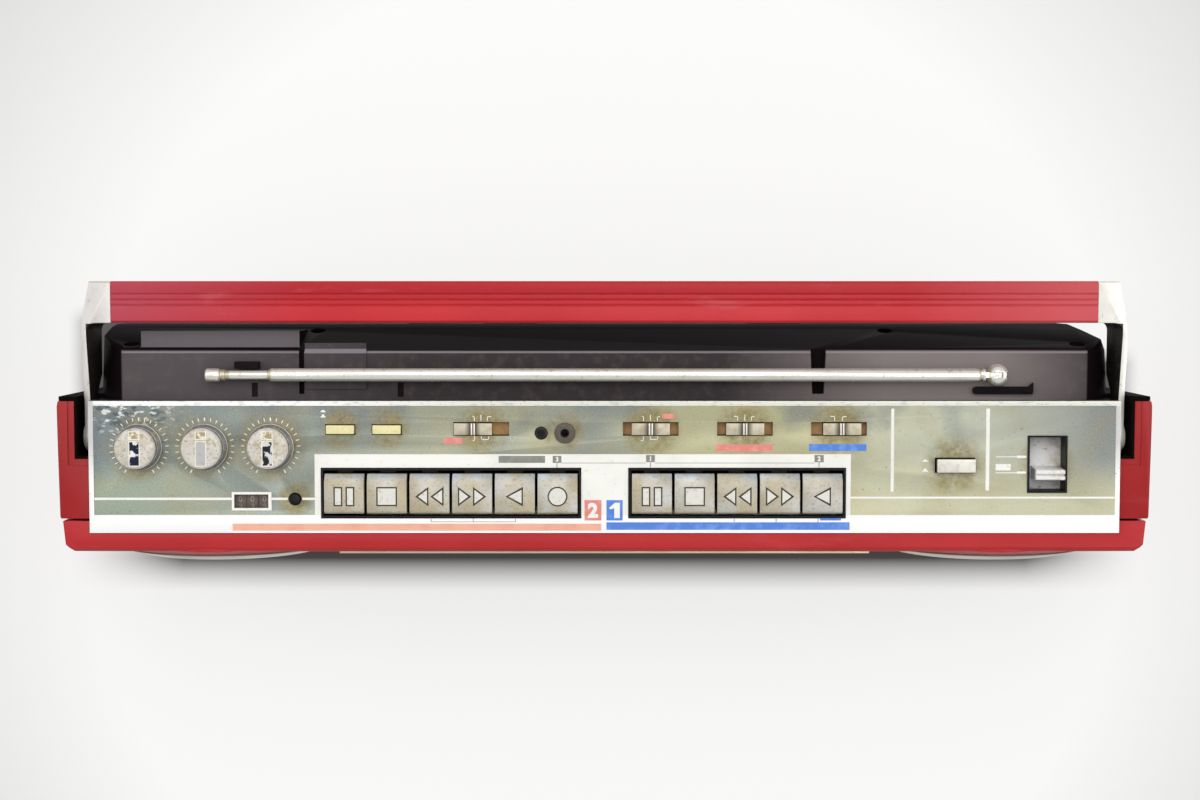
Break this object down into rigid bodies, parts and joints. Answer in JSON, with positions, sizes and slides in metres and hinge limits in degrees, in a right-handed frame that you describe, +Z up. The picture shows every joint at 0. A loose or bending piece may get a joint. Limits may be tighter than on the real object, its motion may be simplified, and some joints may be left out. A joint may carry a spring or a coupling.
{
  "type": "portable cassette radio recorder",
  "caption": "Wide dual cassette boombox with folding handle, piano-key decks, round speakers, top control panel and telescopic antenna folded along its rear shelf.",
  "frame": {"origin": "on the table under the middle of the outline", "axes": "+Z up, -Y towards the loudspeakers, +X to the right seen from the front"},
  "size_m": [0.545, 0.1412, 0.148],
  "materials": {
    "red_shell": "satin",
    "red_grip": "satin",
    "dark_shell": "matt",
    "panel_metal": "worn",
    "silver_trim": "satin",
    "key_silver": "satin",
    "black_plastic": "matt",
    "driver": "matt",
    "clear": "gloss",
    "door_plastic": "gloss",
    "steel": "satin",
    "board": "matt",
    "rubber": "matt",
    "chrome": "polished",
    "white_plastic": "satin",
    "red_pointer": "satin",
    "cream_button": "satin"
  },
  "bodies": {
    "cabinet": {"front_cabinet": "red_shell", "rear_cabinet": "dark_shell", "side_cover_left": "red_shell", "side_cover_right": "red_shell", "control_panel": "panel_metal", "key_frames": "black_plastic", "speaker_rings": "silver_trim", "speaker_grilles": "black_plastic", "speaker_drivers": "driver", "deck_frame": "silver_trim", "dial_lens": "clear", "deck_chassis": "steel", "tape_heads": "steel", "circuit_boards": "board", "mains_inlet": "black_plastic", "microphone_jack": "black_plastic", "rubber_feet": "rubber", "case_screws": "steel", "antenna_base": "chrome"},
    "handle": {"handle_grip": "red_grip", "handle_arms": "silver_trim"},
    "antenna_1": {"antenna_tube_1": "chrome"},
    "antenna_2": {"antenna_tube_2": "chrome"},
    "antenna_3": {"antenna_tube_3": "chrome"},
    "antenna_4": {"antenna_tip": "chrome"},
    "deck_2_door": {"deck_2_door": "door_plastic"},
    "deck_2_reel_left": {"deck_2_reel_left": "white_plastic"},
    "deck_2_reel_right": {"deck_2_reel_right": "white_plastic"},
    "deck_2_capstan": {"deck_2_capstan": "steel"},
    "deck_1_door": {"deck_1_door": "door_plastic"},
    "deck_1_reel_left": {"deck_1_reel_left": "white_plastic"},
    "deck_1_reel_right": {"deck_1_reel_right": "white_plastic"},
    "deck_1_capstan": {"deck_1_capstan": "steel"},
    "tuning_knob": {"tuning_knob": "silver_trim"},
    "dial_pointer": {"dial_pointer": "red_pointer"},
    "counter_wheels": {"counter_wheels": "black_plastic"},
    "counter_reset": {"counter_reset": "black_plastic"},
    "volume_knob": {"volume_knob": "silver_trim"},
    "balance_knob": {"balance_knob": "silver_trim"},
    "tone_knob": {"tone_knob": "silver_trim"},
    "function_switch": {"function_switch": "silver_trim"},
    "edit_switch": {"edit_switch": "silver_trim"},
    "tape_switch_2": {"tape_switch_2": "silver_trim"},
    "tape_switch_1": {"tape_switch_1": "silver_trim"},
    "wide_button": {"wide_button": "cream_button"},
    "mute_button": {"mute_button": "cream_button"},
    "fm_mode_button": {"fm_mode_button": "silver_trim"},
    "band_lever": {"band_lever": "white_plastic"},
    "key_2_pause": {"key_2_pause": "key_silver"},
    "key_2_stop": {"key_2_stop": "key_silver"},
    "key_2_rewind": {"key_2_rewind": "key_silver"},
    "key_2_forward": {"key_2_forward": "key_silver"},
    "key_2_play": {"key_2_play": "key_silver"},
    "key_2_record": {"key_2_record": "key_silver"},
    "key_1_pause": {"key_1_pause": "key_silver"},
    "key_1_stop": {"key_1_stop": "key_silver"},
    "key_1_rewind": {"key_1_rewind": "key_silver"},
    "key_1_forward": {"key_1_forward": "key_silver"},
    "key_1_play": {"key_1_play": "key_silver"},
    "battery_cover": {"battery_cover": "dark_shell"}
  },
  "joints": [
    {"name": "handle_hinge", "type": "hinge", "parent": "cabinet", "child": "handle", "pos_m": [0, -0.00765, 0.121], "axis": [1, 0, 0], "range_deg": [0, 90]},
    {"name": "antenna_lift", "type": "hinge", "parent": "cabinet", "child": "antenna_1", "pos_m": [0.1955, 0.02405, 0.1345], "axis": [0, 1, 0], "range_deg": [0, 90]},
    {"name": "antenna_slide_2", "type": "slide", "parent": "antenna_1", "child": "antenna_2", "axis": [-1, 0, 0], "range_m": [0, 0.3]},
    {"name": "antenna_slide_3", "type": "slide", "parent": "antenna_2", "child": "antenna_3", "axis": [-1, 0, 0], "range_m": [0, 0.3]},
    {"name": "antenna_slide_4", "type": "slide", "parent": "antenna_3", "child": "antenna_4", "axis": [-1, 0, 0], "range_m": [0, 0.3]},
    {"name": "deck_2_door_hinge", "type": "hinge", "parent": "cabinet", "child": "deck_2_door", "pos_m": [-0.0655, -0.06295, 0.0202], "axis": [1, 0, 0], "range_deg": [0, 35]},
    {"name": "deck_2_reel_left_spin", "type": "hinge", "parent": "cabinet", "child": "deck_2_reel_left", "pos_m": [-0.08675, -0.04735, 0.0515], "axis": [0, 1, 0], "continuous": true},
    {"name": "deck_2_reel_right_spin", "type": "hinge", "parent": "cabinet", "child": "deck_2_reel_right", "pos_m": [-0.04425, -0.04735, 0.0515], "axis": [0, 1, 0], "continuous": true},
    {"name": "deck_2_capstan_spin", "type": "hinge", "parent": "cabinet", "child": "deck_2_capstan", "pos_m": [-0.0965, -0.04735, 0.0775], "axis": [0, 1, 0], "continuous": true},
    {"name": "deck_1_door_hinge", "type": "hinge", "parent": "cabinet", "child": "deck_1_door", "pos_m": [0.0655, -0.06295, 0.0202], "axis": [1, 0, 0], "range_deg": [0, 35]},
    {"name": "deck_1_reel_left_spin", "type": "hinge", "parent": "cabinet", "child": "deck_1_reel_left", "pos_m": [0.04425, -0.04735, 0.0515], "axis": [0, 1, 0], "continuous": true},
    {"name": "deck_1_reel_right_spin", "type": "hinge", "parent": "cabinet", "child": "deck_1_reel_right", "pos_m": [0.08675, -0.04735, 0.0515], "axis": [0, 1, 0], "continuous": true},
    {"name": "deck_1_capstan_spin", "type": "hinge", "parent": "cabinet", "child": "deck_1_capstan", "pos_m": [0.0345, -0.04735, 0.0775], "axis": [0, 1, 0], "continuous": true},
    {"name": "tuning_turn", "type": "hinge", "parent": "cabinet", "child": "tuning_knob", "pos_m": [0.11, -0.06415, 0.119], "axis": [0, 1, 0], "range_deg": [-450, 450]},
    {"name": "pointer_slide", "type": "slide", "parent": "cabinet", "child": "dial_pointer", "axis": [1, 0, 0], "range_m": [-0.08, 0.08]},
    {"name": "counter_turn", "type": "hinge", "parent": "cabinet", "child": "counter_wheels", "pos_m": [-0.1758, -0.03875, 0.1285], "axis": [1, 0, 0], "continuous": true},
    {"name": "reset_press", "type": "slide", "parent": "cabinet", "child": "counter_reset", "axis": [0, 0, -1], "range_m": [0, 0.002], "stiffness_N_per_m": 300, "springref_m": -0.001},
    {"name": "volume_turn", "type": "hinge", "parent": "cabinet", "child": "volume_knob", "pos_m": [-0.2313, -0.01175, 0.138], "axis": [0, 0, 1], "range_deg": [-140, 140]},
    {"name": "balance_turn", "type": "hinge", "parent": "cabinet", "child": "balance_knob", "pos_m": [-0.1986, -0.01175, 0.138], "axis": [0, 0, 1], "range_deg": [-140, 140]},
    {"name": "tone_turn", "type": "hinge", "parent": "cabinet", "child": "tone_knob", "pos_m": [-0.1659, -0.01175, 0.138], "axis": [0, 0, 1], "range_deg": [-140, 140]},
    {"name": "function_slide", "type": "slide", "parent": "cabinet", "child": "function_switch", "axis": [1, 0, 0], "range_m": [0, 0.0081]},
    {"name": "edit_slide", "type": "slide", "parent": "cabinet", "child": "edit_switch", "axis": [1, 0, 0], "range_m": [-0.00405, 0.00405]},
    {"name": "tape_2_slide", "type": "slide", "parent": "cabinet", "child": "tape_switch_2", "axis": [1, 0, 0], "range_m": [-0.00405, 0.00405]},
    {"name": "tape_1_slide", "type": "slide", "parent": "cabinet", "child": "tape_switch_1", "axis": [1, 0, 0], "range_m": [-0.00545, 0.00265]},
    {"name": "wide_press", "type": "slide", "parent": "cabinet", "child": "wide_button", "axis": [0, 0, -1], "range_m": [0, 0.003], "stiffness_N_per_m": 300, "springref_m": -0.001},
    {"name": "mute_press", "type": "slide", "parent": "cabinet", "child": "mute_button", "axis": [0, 0, -1], "range_m": [0, 0.003], "stiffness_N_per_m": 300, "springref_m": -0.001},
    {"name": "mode_press", "type": "slide", "parent": "cabinet", "child": "fm_mode_button", "axis": [0, 0, -1], "range_m": [0, 0.003], "stiffness_N_per_m": 300, "springref_m": -0.001},
    {"name": "band_slide", "type": "slide", "parent": "cabinet", "child": "band_lever", "axis": [0, 1, 0], "range_m": [0, 0.008]},
    {"name": "key_2_pause_press", "type": "hinge", "parent": "cabinet", "child": "key_2_pause", "pos_m": [-0.1293, -0.01975, 0.1324], "axis": [1, 0, 0], "range_deg": [0, 7], "stiffness_Nm_per_rad": 0.4, "springref_deg": -5.73},
    {"name": "key_2_stop_press", "type": "hinge", "parent": "cabinet", "child": "key_2_stop", "pos_m": [-0.1081, -0.01975, 0.1324], "axis": [1, 0, 0], "range_deg": [0, 7], "stiffness_Nm_per_rad": 0.4, "springref_deg": -5.73},
    {"name": "key_2_rewind_press", "type": "hinge", "parent": "cabinet", "child": "key_2_rewind", "pos_m": [-0.0869, -0.01975, 0.1324], "axis": [1, 0, 0], "range_deg": [0, 7], "stiffness_Nm_per_rad": 0.4, "springref_deg": -5.73},
    {"name": "key_2_forward_press", "type": "hinge", "parent": "cabinet", "child": "key_2_forward", "pos_m": [-0.0657, -0.01975, 0.1324], "axis": [1, 0, 0], "range_deg": [0, 7], "stiffness_Nm_per_rad": 0.4, "springref_deg": -5.73},
    {"name": "key_2_play_press", "type": "hinge", "parent": "cabinet", "child": "key_2_play", "pos_m": [-0.0445, -0.01975, 0.1324], "axis": [1, 0, 0], "range_deg": [0, 7], "stiffness_Nm_per_rad": 0.4, "springref_deg": -5.73},
    {"name": "key_2_record_press", "type": "hinge", "parent": "cabinet", "child": "key_2_record", "pos_m": [-0.0233, -0.01975, 0.1324], "axis": [1, 0, 0], "range_deg": [0, 7], "stiffness_Nm_per_rad": 0.4, "springref_deg": -5.73},
    {"name": "key_1_pause_press", "type": "hinge", "parent": "cabinet", "child": "key_1_pause", "pos_m": [0.0236, -0.01975, 0.1324], "axis": [1, 0, 0], "range_deg": [0, 7], "stiffness_Nm_per_rad": 0.4, "springref_deg": -5.73},
    {"name": "key_1_stop_press", "type": "hinge", "parent": "cabinet", "child": "key_1_stop", "pos_m": [0.0448, -0.01975, 0.1324], "axis": [1, 0, 0], "range_deg": [0, 7], "stiffness_Nm_per_rad": 0.4, "springref_deg": -5.73},
    {"name": "key_1_rewind_press", "type": "hinge", "parent": "cabinet", "child": "key_1_rewind", "pos_m": [0.066, -0.01975, 0.1324], "axis": [1, 0, 0], "range_deg": [0, 7], "stiffness_Nm_per_rad": 0.4, "springref_deg": -5.73},
    {"name": "key_1_forward_press", "type": "hinge", "parent": "cabinet", "child": "key_1_forward", "pos_m": [0.0872, -0.01975, 0.1324], "axis": [1, 0, 0], "range_deg": [0, 7], "stiffness_Nm_per_rad": 0.4, "springref_deg": -5.73},
    {"name": "key_1_play_press", "type": "hinge", "parent": "cabinet", "child": "key_1_play", "pos_m": [0.1084, -0.01975, 0.1324], "axis": [1, 0, 0], "range_deg": [0, 7], "stiffness_Nm_per_rad": 0.4, "springref_deg": -5.73},
    {"name": "battery_cover_hinge", "type": "hinge", "parent": "cabinet", "child": "battery_cover", "pos_m": [0.02, 0.04715, 0.0138], "axis": [-1, 0, 0], "range_deg": [0, 70]}
  ],
  "couplings": [
    {"joint": "tuning_turn", "follows": "pointer_slide", "rad_per_m": 98.175},
    {"joint": "counter_turn", "follows": "deck_2_reel_right_spin", "ratio": 0.05}
  ]
}
